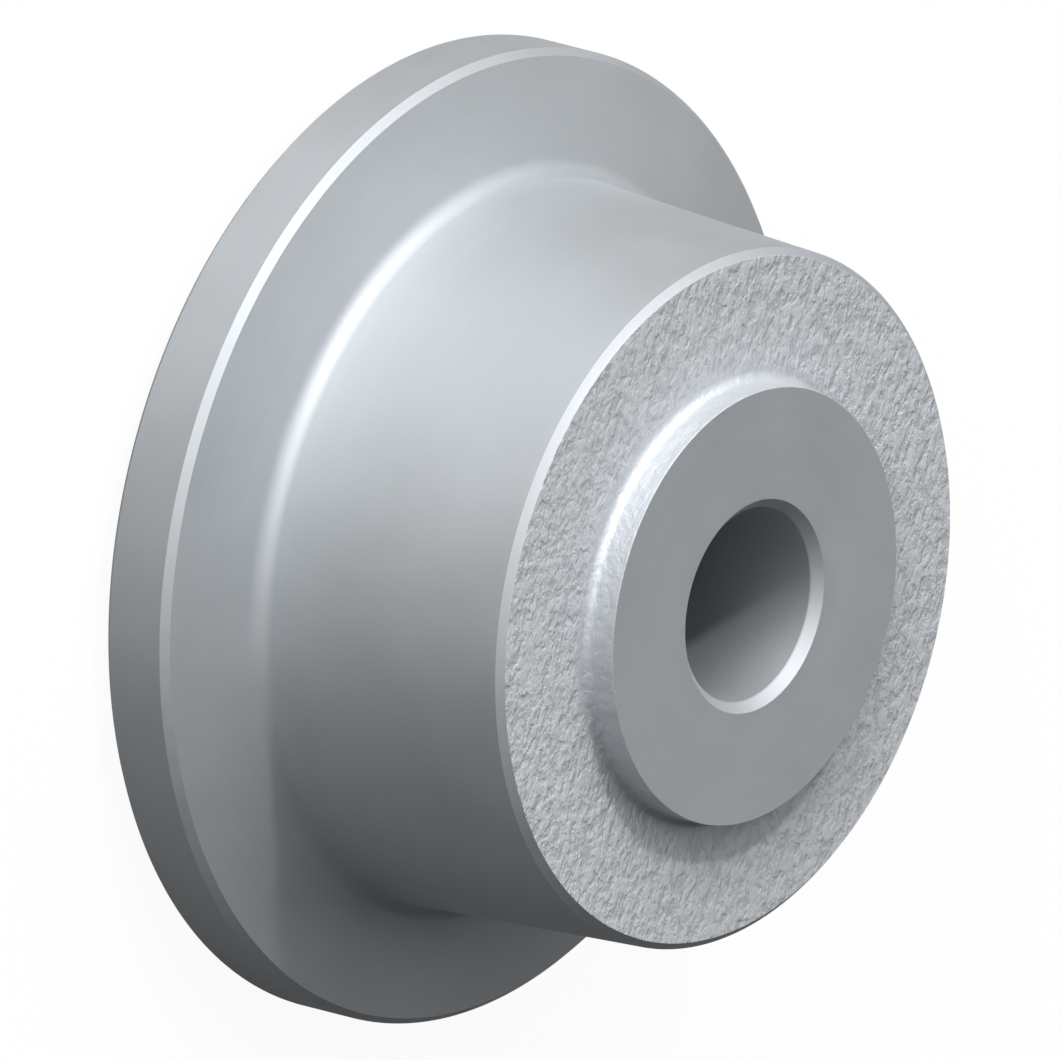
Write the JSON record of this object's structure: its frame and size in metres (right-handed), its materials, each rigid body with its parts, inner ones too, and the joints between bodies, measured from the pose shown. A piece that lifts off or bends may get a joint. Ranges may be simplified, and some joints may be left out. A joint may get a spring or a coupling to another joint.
{
  "type": "flanged track wheel",
  "caption": "Solid cast wheel with a tapered tread, a guiding flange, a raised hub and a plain bore for an axle.",
  "frame": {"origin": "on the wheel's axis, in the plane of the back face of the hub that it stands on", "axes": "+Z along the bore, from the flange to the front of the hub; X and Y are radial"},
  "size_m": [0.1, 0.1, 0.045],
  "materials": {
    "wheel_iron": "turned bright on the tread, flange, hub ends and bore, and as cast on the disc"
  },
  "bodies": {
    "root": {"track_wheel": "wheel_iron"}
  },
  "joints": []
}
